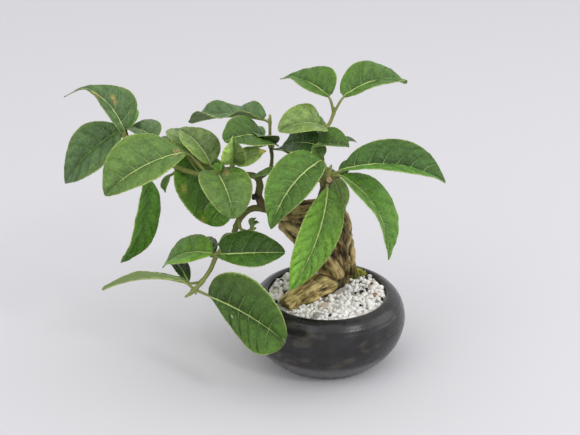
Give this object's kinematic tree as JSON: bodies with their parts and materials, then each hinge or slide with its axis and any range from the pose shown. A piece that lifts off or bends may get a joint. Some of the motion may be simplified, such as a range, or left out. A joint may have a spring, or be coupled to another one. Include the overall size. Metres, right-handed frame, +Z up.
{
  "type": "spindle tree bonsai in a round pot",
  "caption": "Small potted spindle tree bonsai with a hooked, root-like trunk and sparse sprays of broad glossy leaves over a squat dark bowl of pale gravel.",
  "frame": {"origin": "centre of the pot's flat underside", "axes": "+Z up, -Y towards the side that the picture shows, +X to the right of that view"},
  "size_m": [0.1872, 0.1124, 0.1459],
  "materials": {
    "pot_glaze": "dark satin stoneware with faint brown mottling",
    "gravel": "pale gravel with a few grey and tan grains",
    "bark": "fibrous fluted bark",
    "twig_bark": "thin brown bark, green towards the tips",
    "leaf": "satin green leaf with pale veins"
  },
  "bodies": {
    "root": {"pot": "pot_glaze", "gravel_fill": "gravel", "trunk": "bark", "trunk_hook": "bark", "bough_upper_left": "twig_bark", "bough_lower_left": "twig_bark", "bough_back": "twig_bark", "bough_right": "twig_bark", "bough_top": "twig_bark", "spray_right": "leaf", "spray_top": "leaf", "spray_back": "leaf", "spray_upper_left": "leaf", "spray_lower_left": "leaf"}
  },
  "joints": []
}
